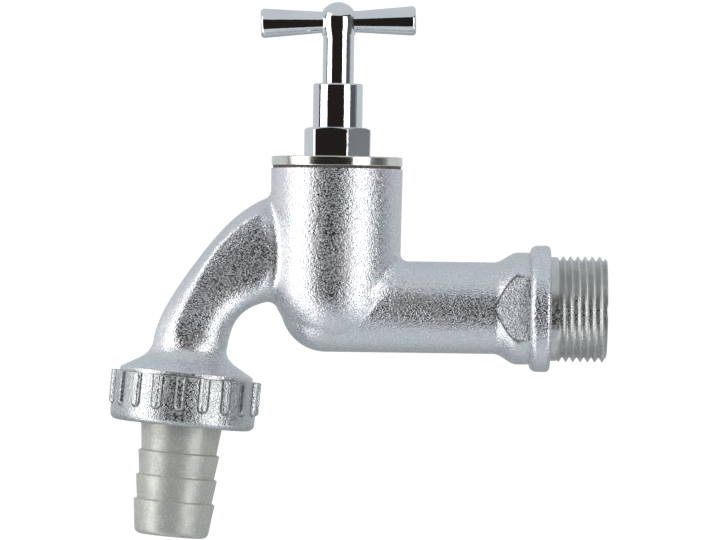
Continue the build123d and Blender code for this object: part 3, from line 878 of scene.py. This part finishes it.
@dataclass
class TapBody:
    """Cast body with its two cut threads."""

    inlet: AxisFrame
    outlet: AxisFrame
    step: float = 0.00005
    hair: float = 0.000005
    crease: float = 32.0
    bore_radius: float = 0.0085
    thread_radius: float = 0.01322
    thread_length: float = 0.0141
    thread_inner_radius: float = 0.0087
    stub_radius: float = 0.0120
    stub_length: float = 0.0140
    outlet_bore_radius: float = 0.0109
    outlet_thread_radius: float = 0.016625
    outlet_stub_radius: float = 0.01515
    outlet_inner_radius: float = 0.0149
    outlet_thread_start: float = 0.0040
    outlet_thread_end: float = 0.01105
    barrel_radius: float = 0.01145
    boss_radius: float = 0.0140
    boss_start: float = -0.0141
    boss_full: float = -0.0082
    boss_rings: int = 15
    boss_facets: tuple[float, ...] = (0.00135,) * 5
    flat_half: float = 0.01146
    flat_cosine: float = 0.9999
    rim_shadow: float = 0.00036
    rim_facets: tuple[float, ...] = (0.00036,) * 4
    flange_face: float = -0.0052
    flange_radius: float = 0.0158
    flange_rounds: tuple[float, float] = (0.0019, 0.0011)
    flange_rings: int = 12
    spindle_x: float = -0.0537
    chamber_radius: float = 0.0165
    chamber_blend: float = 0.004
    bend_radius: float = 0.03091
    spout_skin: float = 0.0072
    spout_half: float = 0.0160
    spout_turns: tuple[float, float, float] = (5.0, 14.0, 88.0)
    spout_facets: tuple[float, ...] = (0.0018, 0.0009, 0.00045)
    oval_turns: tuple[float, float] = (22.0, 74.0)
    oval_ratio: float = 1.82
    crown: float = 0.15
    inner_power: float = 3.3
    ridge_turns: tuple[float, float] = (18.0, 50.0)
    ridge_places: tuple[float, float] = (0.52, 0.75)
    ridge_blend: float = 0.06
    joint_reach: float = 0.0052
    joint_skin: float = 0.0009
    joint_sides: tuple[float, float] = (0.0030, 0.0065)
    joint_facets: tuple[float, ...] = (0.0018, 0.0009, 0.0009)
    joint_passes: int = 50
    joint_pull: float = 0.5

    def build(self, cast: bpy.types.Material, milled: bpy.types.Material,
              machined: bpy.types.Material) -> None:
        """Build and dress the body and its threads.

        Args:
            cast: the body's material.
            milled: the wrench flats' material.
            machined: the threads' material.
        """
        body = copy_of("tap_body", "cast_body")
        edit(body.data, [self._flatten_spout, self._soften_joint, self._shape_boss, self._paint_rim_shade,
                         self._round_flange, self._draw_in_inlet, self._draw_in_outlet, self._mark_flats])
        smooth(body.data, self.crease)
        hand_over(body, "tap_body", Slot.BLASTED, cast, milled)
        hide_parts("tap_body")
        for thread in (self._inlet_thread(), self._outlet_thread()):
            hand_over(thread.build(machined), "tap_body", Slot.BLASTED)

    def _refine(self, form: bmesh.types.BMesh, limits: Iterable[float],
                inside: Callable[[Vector], bool]) -> None:
        """Halve the edges over each length limit in turn whose middle lies inside a zone.

        Args:
            form: the mesh in edit form.
            limits: the lengths, in order.
            inside: the test of a place.
        """
        for limit in limits:
            lines = [line for line in form.edges if line.calc_length() > limit
                     and inside((line.verts[0].co + line.verts[1].co) / 2)]
            bmesh.ops.subdivide_edges(form, edges=lines, cuts=1)
            bmesh.ops.triangulate(form, faces=[face for face in form.faces if len(face.verts) > 4])

    def _spout_place(self, point: Vector) -> tuple[float, float, float]:
        """Read where a point lies on the spout.

        Args:
            point: the point.

        Returns:
            The turn round the bend in degrees, the distance outwards from the bend's middle line and
            how far the point belongs to the spout, from 0 to 1.
        """
        across = Vector((-self.outlet.direction.z, 0.0, self.outlet.direction.x))
        arm = point - (self.outlet.origin + across * self.bend_radius)
        turn = math.degrees(math.atan2(-arm.dot(self.outlet.direction), -arm.dot(across)))
        aside = math.hypot(arm.x, arm.z) - self.bend_radius
        start, full, last = self.spout_turns
        beyond = math.hypot(point.x - self.spindle_x, point.y) - self.chamber_radius
        share = eased(turn, start, full) * eased(beyond, 0.0, self.chamber_blend)
        if point.x > self.spindle_x or turn > last or abs(aside) > self.spout_half:
            share = 0.0
        return turn, aside, share

    def _flatten_spout(self, form: bmesh.types.BMesh) -> None:
        """Flatten the spout's front and back, on the outer half up to a soft ridge.

        Args:
            form: the mesh in edit form.
        """
        self._refine(form, self.spout_facets, lambda spot: self._spout_place(spot)[2] > 0.0)
        for point in form.verts:
            turn, aside, share = self._spout_place(point.co)
            oval = 1.0 + (self.oval_ratio - 1.0) * eased(turn, *self.oval_turns)
            half = math.hypot(aside, oval * point.co.y)
            if share == 0.0 or half < self.spout_skin:
                continue
            width = half / oval * self._flattened(aside / half, turn)
            point.co.y += (math.copysign(width, point.co.y) - point.co.y) * share

    def _flattened(self, place: float, turn: float) -> float:
        """Work out the spout's half width in its flattened form.

        Args:
            place: how far out from the middle line the point lies, from -1 to 1.
            turn: the turn round the bend in degrees.

        Returns:
            The half width as a share of the widest one.
        """
        if place < 0.0:
            return math.sqrt(max(0.0, 1.0 - abs(place) ** self.inner_power))
        low, high = self.ridge_places
        ridge = low + (high - low) * eased(turn, *self.ridge_turns)
        front = 1.0 - self.crown * place ** 2
        depth = (1.0 - self.crown * ridge ** 2) / math.sqrt(1.0 - ridge ** 2)
        side = depth * math.sqrt(max(0.0, 1.0 - place ** 2))
        near = max(0.0, self.ridge_blend - abs(front - side)) / self.ridge_blend
        return min(front, side) - near * near * self.ridge_blend / 4

    def _joint_share(self, spot: Vector) -> float:
        """Tell how near a point of the skin lies to the seam of chamber and barrel, from 0 to 1.

        Args:
            spot: the point.

        Returns:
            The nearness, and 0 for a point that isn't on the outer skin.
        """
        off_chamber = math.hypot(spot.x - self.spindle_x, spot.y) - self.chamber_radius
        off_barrel = math.hypot(spot.y, spot.z) - self.barrel_radius
        if spot.x < self.spindle_x or min(off_chamber, off_barrel) < -self.joint_skin:
            return 0.0
        away = max(off_chamber, off_barrel)
        return (1.0 - eased(away, 0.0, self.joint_reach)) * eased(abs(spot.y), *self.joint_sides)

    def _soften_joint(self, form: bmesh.types.BMesh) -> None:
        """Widen the rounding between chamber and barrel on the front and back.

        Args:
            form: the mesh in edit form.
        """
        self._refine(form, self.joint_facets, lambda spot: self._joint_share(spot) > 0.0)
        shares = {point: self._joint_share(point.co) for point in form.verts}
        near = {point: share for point, share in shares.items() if share > 0.0}
        around = {point: [line.other_vert(point) for line in point.link_edges] for point in near}
        for _ in range(self.joint_passes):
            moved = {}
            for point, share in near.items():
                middle = sum((other.co for other in around[point]), Vector()) / len(around[point])
                moved[point] = point.co.lerp(middle, self.joint_pull * share)
            for point, place in moved.items():
                point.co = place

    def _boss_skin(self, reach: float) -> float:
        """Work out the boss's radius at a place along the inlet's axis."""
        rise = eased(reach, self.boss_start, self.boss_full)
        return self.barrel_radius + (self.boss_radius - self.barrel_radius) * rise

    def _on_boss(self, spot: Vector) -> bool:
        """Tell whether a point lies on the outer skin of the wrench boss."""
        return (self.boss_start - self.step < spot.x < self.flange_face - self.hair
                and math.hypot(spot.y, spot.z) > (self.barrel_radius + self.bore_radius) / 2)

    def _shape_boss(self, form: bmesh.types.BMesh) -> None:
        """Draw the boss's shoulder in with a hollow start, and cut its two flats on it.

        Args:
            form: the mesh in edit form.
        """
        for ring in range(self.boss_rings + 1):
            reach = self.boss_start + (self.boss_full - self.boss_start) * ring / self.boss_rings
            cut_across(form, self.inlet.along(reach), self.inlet.direction)
        self._refine(form, self.boss_facets, self._on_boss)
        for point in form.verts:
            if self._on_boss(point.co):
                set_radius(point, self._boss_skin(point.co.x))
        for side in (-1.0, 1.0):
            faces = [face for face in form.faces if self._on_boss(face.calc_center_median())]
            lines = {line for face in faces for line in face.edges}
            points = {point for face in faces for point in face.verts}
            normal = Vector((0.0, side, 0.0))
            cut_across(form, normal * self.flat_half, normal, [*points, *lines, *faces])
        for point in form.verts:
            across = math.hypot(point.co.y, point.co.z)
            on_skin = self.boss_start < point.co.x < self.flange_face + self.step
            if on_skin and abs(point.co.y) > self.flat_half and across < self.boss_radius + self.step:
                point.co.y = math.copysign(self.flat_half, point.co.y)

    def _rim_share(self, spot: Vector) -> float:
        """Tell how near a point of the boss lies to the rim of a wrench flat, from 0 to 1.

        Args:
            spot: the point.

        Returns:
            The nearness, which fades out towards both ends of the boss.
        """
        if not self._on_boss(spot) or abs(spot.y) < self.flat_half - self.rim_shadow:
            return 0.0
        rims = [math.sqrt(max(0.0, self._boss_skin(reach) ** 2 - self.flat_half ** 2))
                for reach in (spot.x, spot.x + self.step)]
        away = abs(abs(spot.z) - rims[0]) / math.hypot(1.0, (rims[1] - rims[0]) / self.step)
        within = (eased(spot.x, self.boss_start + self.step, self.boss_start + self.rim_shadow)
                  * (1.0 - eased(spot.x, self.boss_full, self.flange_face)))
        return (1.0 - eased(away, 0.0, self.rim_shadow)) * within

    def _paint_rim_shade(self, form: bmesh.types.BMesh) -> None:
        """Paint shade along the rims of the wrench flats, in a layer of their own.

        Args:
            form: the mesh in edit form.
        """
        self._refine(form, self.rim_facets, lambda spot: self._rim_share(spot) > 0.0)
        layer = form.verts.layers.float.new(PAINTED_SHADE_LAYER)
        for point in form.verts:
            point[layer] = self._rim_share(point.co)

    def _mark_flats(self, form: bmesh.types.BMesh) -> None:
        """Give the two wrench flats the second material.

        Args:
            form: the mesh in edit form.
        """
        for face in form.faces:
            face.normal_update()
            on_boss = self.boss_start < face.calc_center_median().x < self.flange_face
            if on_boss and abs(face.normal.y) > self.flat_cosine:
                face.material_index = 1

    def _round_flange(self, form: bmesh.types.BMesh) -> None:
        """Round the flange's two edges, the one towards the boss more.

        Args:
            form: the mesh in edit form.
        """
        for ring in range(1, self.flange_rings):
            reach = self.flange_face * ring / self.flange_rings
            cut_across(form, self.inlet.along(reach), self.inlet.direction)
        near, far = self.flange_rounds
        for point in form.verts:
            across = math.hypot(point.co.y, point.co.z)
            along = self.flange_face - self.step < point.co.x < self.step
            if along and across >= self.flange_radius - near:
                depths = ((near, point.co.x - self.flange_face), (far, -point.co.x))
                drops = [size - math.sqrt(max(0.0, size ** 2 - (size - depth) ** 2))
                         for size, depth in depths if depth < size]
                set_radius(point, min(across, self.flange_radius - max(drops, default=0.0)))

    def _draw_in(self, form: bmesh.types.BMesh, place: AxisFrame, inner: float, radius: float) -> None:
        """Make the end of a pipe a plain stub.

        Args:
            form: the body in edit form.
            place: where the stub starts, and its direction.
            inner: the radius that divides the pipe's inside from its outside.
            radius: the stub's radius.
        """
        for lift in (0.0, self.step):
            cut_across(form, place.along(lift), place.direction)
        for point in form.verts:
            arm = point.co - place.origin
            reach = arm.dot(place.direction)
            side = arm - place.direction * reach
            if reach > self.step / 2 and side.length > inner:
                point.co = place.along(reach) + side * (radius / side.length)

    def _draw_in_inlet(self, form: bmesh.types.BMesh) -> None:
        """Make the inlet end a plain stub under its thread, a little shorter than that.

        Args:
            form: the mesh in edit form.
        """
        self._draw_in(form, self.inlet, (self.thread_radius + self.bore_radius) / 2, self.stub_radius)
        for point in form.verts:
            point.co.x = min(point.co.x, self.stub_length)

    def _draw_in_outlet(self, form: bmesh.types.BMesh) -> None:
        """Make the outlet rim a plain stub under its thread.

        Args:
            form: the mesh in edit form.
        """
        place = AxisFrame(self.outlet.along(self.outlet_thread_start), self.outlet.direction)
        inner = (self.outlet_thread_radius + self.outlet_bore_radius) / 2
        self._draw_in(form, place, inner, self.outlet_stub_radius)

    def _inlet_thread(self) -> PipeThread:
        """Set out the wall thread of the inlet.

        Returns:
            The thread with its sizes.
        """
        return PipeThread(
            "inlet_thread_cut", self.inlet, outer_radius=self.thread_radius,
            inner_radius=self.thread_inner_radius, plain_radius=0.0130, pitch=0.001814, depth=0.001162,
            length=self.thread_length, fade_start=0.0013, fade_end=0.0025, chamfer=0.0009,
        )

    def _outlet_thread(self) -> PipeThread:
        """Set out the thread under the union nut.

        Returns:
            The thread with its sizes.
        """
        start = AxisFrame(self.outlet.along(self.outlet_thread_start), self.outlet.direction)
        length = self.outlet_thread_end - self.outlet_thread_start
        return PipeThread(
            "outlet_thread_cut", start, outer_radius=self.outlet_thread_radius,
            inner_radius=self.outlet_inner_radius, plain_radius=self.outlet_thread_radius, pitch=0.002309,
            depth=0.00148, length=length, fade_start=0.0004, fade_end=0.0012, chamfer=0.0008,
        )


@dataclass
class Headwork:
    """Bonnet over the valve chamber: guide neck, hexagon and sealing ring in one turned piece."""

    axis: AxisFrame
    ring_low: float = 0.0349
    ring_high: float = 0.0374
    ring_inner: float = 0.0145
    corner_width: float = 0.0005
    corner_reach: float = 0.0075
    corner_angle: float = 50.0
    side_reach: float = 0.0065
    upright_share: float = 0.99
    same_cosine: float = 0.99999
    level_slope: float = 0.001

    def build(self, polished: bpy.types.Material, turned: bpy.types.Material) -> None:
        """Dress the bonnet, with the ring in its own finish.

        Args:
            polished: the bonnet's material.
            turned: the ring's material.
        """
        bonnet = copy_of("bonnet", "finished_bonnet", self._ease_corners)
        for face in bonnet.data.polygons:
            across = math.hypot(face.center.x - self.axis.origin.x, face.center.y)
            on_ring = self.ring_low < face.center.z < self.ring_high and across > self.ring_inner
            face.material_index = int(on_ring)
        hand_over(bonnet, "tap_body", Slot.POLISHED, polished, turned)
        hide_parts("bonnet")

    def _is_corner(self, line: bmesh.types.BMEdge) -> bool:
        """Tell whether an edge is an upright corner of the hexagon.

        Args:
            line: the edge.

        Returns:
            Whether it is.
        """
        rise = line.verts[1].co - line.verts[0].co
        middle = (line.verts[0].co + line.verts[1].co) / 2
        across = math.hypot(middle.x - self.axis.origin.x, middle.y)
        upright = rise.length > self.corner_width and abs(rise.z) > self.upright_share * rise.length
        angle = math.degrees(line.calc_face_angle(0.0))
        return upright and across > self.corner_reach and angle > self.corner_angle

    def _is_within_side(self, line: bmesh.types.BMEdge) -> bool:
        """Tell whether an edge lies between two triangles of one upright flat side.

        Args:
            line: the edge.

        Returns:
            Whether it does.
        """
        sides = [face.normal for face in line.link_faces]
        across = min(math.hypot(end.co.x - self.axis.origin.x, end.co.y) for end in line.verts)
        flat = (len(sides) == 2 and sides[0].dot(sides[1]) > self.same_cosine
                and abs(sides[0].z) < self.level_slope)
        return flat and across > self.side_reach

    def _ease_corners(self, form: bmesh.types.BMesh) -> None:
        """Ease the hexagon's upright corners with two narrow flats each.

        Args:
            form: the mesh in edit form.
        """
        inner = [line for line in form.edges if self._is_within_side(line)]
        bmesh.ops.dissolve_edges(form, edges=inner, use_verts=False)
        corners = [line for line in form.edges if self._is_corner(line)]
        made = bmesh.ops.bevel(form, geom=corners, offset=self.corner_width, segments=2, profile=0.5,
                               affect="EDGES")
        layer = form.loops.layers.float_vector[NORMAL_LAYER]
        for face in made["faces"]:
            face.normal_update()
            for corner in face.loops:
                corner[layer] = face.normal


@dataclass
class BarHandle:
    """Bar handle, leaning a little on the spindle's tang."""

    axis: AxisFrame
    hub_level: float = 0.0665
    lean: float = 1.7

    def build(self, polished: bpy.types.Material) -> None:
        """Lean the handle's copy and dress it.

        Args:
            polished: the handle's material.
        """
        handle = copy_of("handle", "leaning_handle")
        hub = Vector((self.axis.origin.x, 0.0, self.hub_level))
        turn = Matrix.Rotation(math.radians(-self.lean), 4, "Y")
        handle.data.transform(Matrix.Translation(hub) @ turn @ Matrix.Translation(-hub))
        hand_over(handle, "stem", Slot.POLISHED, polished)
        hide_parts("handle")


@dataclass(frozen=True)
class Card:
    """A curved light or dark panel round the tap, by azimuth and height."""

    name: str
    start: float
    end: float
    low: float
    high: float
    strength: float
    tint: tuple[float, float, float] = (1.0, 1.0, 1.0)
    radius: float = 1.0
    middle: Vector | None = None

    COLUMN_ANGLE = 4.0
    LEVELS = 8

    def build(self, centre: Vector) -> None:
        """Build the panel out of the camera's sight.

        Args:
            centre: the place that it stands round, unless it has a middle of its own.
        """
        form = bmesh.new()
        middle = self.middle or centre
        steps = max(2, round(abs(self.end - self.start) / self.COLUMN_ANGLE))
        rows = self.LEVELS + 1
        grid = []
        for column in range(steps + 1):
            azimuth = math.radians(self.start + (self.end - self.start) * column / steps)
            for level in range(rows):
                rise = math.radians(self.low + (self.high - self.low) * level / self.LEVELS)
                flat = math.cos(rise)
                way = Vector((math.sin(azimuth) * flat, -math.cos(azimuth) * flat, math.sin(rise)))
                grid.append(form.verts.new(middle + way * self.radius))
        for column in range(steps):
            for level in range(self.LEVELS):
                corner = column * rows + level
                form.faces.new([grid[corner + step] for step in (0, 1, rows + 1, rows)])
        mesh = bpy.data.meshes.new(self.name)
        form.to_mesh(mesh)
        form.free()
        card = new_piece(self.name, mesh)
        mesh.materials.append(self._glow())
        card.visible_camera = False
        card.visible_shadow = False
        card.visible_diffuse = self.strength > 1.0

    def _glow(self) -> bpy.types.Material:
        """Build the panel's even light.

        Returns:
            The material.
        """
        made, graph, nodes = new_material(f"{self.name}_light")
        nodes.clear()
        glow = graph.node("ShaderNodeEmission", {"Color": self.tint, "Strength": self.strength})
        graph.node("ShaderNodeOutputMaterial", {"Surface": glow.outputs[0]})
        return made


@dataclass
class Studio:
    """Camera, floor, cards and surrounding light."""

    camera_place: Vector
    camera_roll: float
    lens: float
    sensor: float = 36.0
    clip: tuple[float, float] = (0.05, 100.0)
    floor_level: float = -0.0755
    floor_radius: float = 20.0
    floor_sides: int = 96
    floor_tones: tuple[float, float] = (0.86, 0.90)
    floor_speckles: float = 900.0
    floor_roughness: float = 0.8
    floor_shine: float = 0.1
    floor_fade: tuple[float, float] = (0.12, 0.34)
    white: float = 1.05
    surround: tuple[float, float, float] = (0.60, 0.645, 0.68)
    centre: Vector = Vector((-0.05, 0.0, 0.01))
    cards: tuple[Card, ...] = (
        Card("left_softbox", -86.0, -51.0, -62.0, 40.0, 2.9),
        Card("left_edge_card", -97.0, -88.0, -35.0, 30.0, 0.03),
        Card("chamber_side_card", -122.0, -92.0, -4.0, 16.0, 1.02, radius=0.12,
             middle=Vector((-0.0537, 0.0, 0.0))),
        Card("front_dark_card", -50.0, 29.0, -46.0, 31.0, 0.018, tint=(1.0, 0.84, 0.76)),
        Card("right_softbox", 30.0, 58.0, -41.0, 25.0, 2.9),
        Card("right_top_strip", 30.0, 92.0, 25.5, 32.0, 0.02),
        Card("low_right_softbox", 46.0, 84.0, -47.0, -35.0, 2.4),
        Card("right_slate_card", 59.0, 88.0, -33.0, 25.0, 0.12, tint=(0.82, 0.93, 1.0)),
        Card("far_slate_card", 88.0, 99.0, -33.0, 25.0, 0.24, tint=(0.86, 0.95, 1.0)),
        Card("rear_low_card", 110.0, 250.0, -65.0, -8.0, 0.42, tint=(0.90, 0.97, 1.0)),
    )

    def build(self) -> None:
        """Set up everything round the tap."""
        self._camera()
        self._floor()
        self._world()
        for card in self.cards:
            card.build(self.centre)
        scene = bpy.context.scene
        scene.view_settings.view_transform = "Standard"
        scene.view_settings.look = "None"

    def _camera(self) -> None:
        """Place the camera at the photograph's angle."""
        data = bpy.data.cameras.new("photo_camera")
        data.lens = self.lens
        data.sensor_width = self.sensor
        data.clip_start, data.clip_end = self.clip
        camera = bpy.data.objects.new("photo_camera", data)
        camera.location = self.camera_place
        camera.rotation_euler = (math.radians(90.0), math.radians(self.camera_roll), 0.0)
        bpy.context.scene.collection.objects.link(camera)
        bpy.context.scene.camera = camera

    def _floor(self) -> None:
        """Lay a pale round floor under the tap that turns white far away."""
        form = bmesh.new()
        bmesh.ops.create_circle(form, cap_ends=True, segments=self.floor_sides, radius=self.floor_radius)
        mesh = bpy.data.meshes.new("pale_floor")
        form.to_mesh(mesh)
        form.free()
        mesh.transform(Matrix.Translation((self.centre.x, 0.0, self.floor_level)))
        floor = new_piece("pale_floor", mesh)
        made, graph, nodes = new_material("pale_floor_paint")
        shader = nodes["Principled BSDF"]
        shader.inputs["Roughness"].default_value = self.floor_roughness
        shader.inputs["Specular IOR Level"].default_value = self.floor_shine
        place = graph.node("ShaderNodeTexCoord").outputs["Object"]
        dark, pale = self.floor_tones
        tone = graph.blend(graph.noise(place, self.floor_speckles), (dark, dark, dark), (pale, pale, pale))
        graph.feed(shader.inputs["Base Color"], tone)
        white = graph.node("ShaderNodeEmission", {"Strength": self.white})
        fade = graph.spread(graph.length(place), *self.floor_fade)
        mix = graph.node("ShaderNodeMixShader", {0: fade, 1: shader.outputs[0], 2: white.outputs[0]})
        graph.feed(nodes["Material Output"].inputs["Surface"], mix.outputs[0])
        mesh.materials.append(made)
        floor.visible_glossy = False

    def _world(self) -> None:
        """Surround the tap with pale light, white to the camera."""
        world = bpy.data.worlds.new("pale_room")
        bpy.context.scene.world = world
        world.use_nodes = True
        graph = Graph(world.node_tree)
        nodes = world.node_tree.nodes
        room = nodes["Background"]
        room.inputs["Color"].default_value = (*self.surround, 1.0)
        white = graph.node("ShaderNodeBackground", {"Color": (1.0, 1.0, 1.0), "Strength": self.white})
        rays = graph.node("ShaderNodeLightPath")
        feeds = {0: rays.outputs["Is Camera Ray"], 1: room.outputs[0], 2: white.outputs[0]}
        mix = graph.node("ShaderNodeMixShader", feeds)
        graph.feed(nodes["World Output"].inputs["Surface"], mix.outputs[0])


def main() -> None:
    """Build the tap, piece by piece, and its studio."""
    logging.basicConfig(level=logging.INFO, format="%(message)s")
    spindle = AxisFrame(Vector(joint("handle_turn")["pos_m"]), Vector((0.0, 0.0, 1.0)))
    down = Vector(joint("nut_turn")["axis"]).normalized()
    outlet = AxisFrame(Vector(joint("nut_turn")["pos_m"]) - down * NUT_JOINT_DEPTH, down)
    inlet = AxisFrame(Vector((0.0, 0.0, 0.0)), Vector((1.0, 0.0, 0.0)))
    effects = Effects()
    blasted = BLASTED_CHROME.material(effects, inlet)
    polished = POLISHED_CHROME.material(effects, spindle)
    machined = MACHINED_THREAD.material(effects, inlet)
    brass = TURNED_BRASS.material(effects, spindle)
    steel = SATIN_STEEL.material(effects, spindle)
    rubber = SOFT_RUBBER.material(effects, spindle)
    TapBody(inlet, outlet).build(blasted, MILLED_FLAT.material(effects, inlet), machined)
    Headwork(spindle).build(polished, RING_CHROME.material(effects, spindle))
    BarHandle(spindle).build(polished)
    RibbedNut(outlet).build(NUT_CHROME.material(effects, outlet))
    finishes = {
        "spindle": polished, "handle_screw": steel, "snap_ring": steel, "jumper": brass,
        "backing_washer": brass, "washer_nut": brass, "lower_stem_ring": rubber, "upper_stem_ring": rubber,
        "seat_washer": rubber, "tail_gasket": rubber, "hose_tail": MOULDED_TAIL.material(effects, outlet),
        "bonnet_gasket": PRESSED_FIBRE.material(effects, spindle),
        "slip_washer": SLIP_NYLON.material(effects, spindle),
    }
    for node, material in finishes.items():
        dress(node, material)
    Studio(camera_place=Vector((-0.04811, -1.600, 0.00909)), camera_roll=-0.769, lens=321.8).build()


if __name__ == "__main__":
    main()
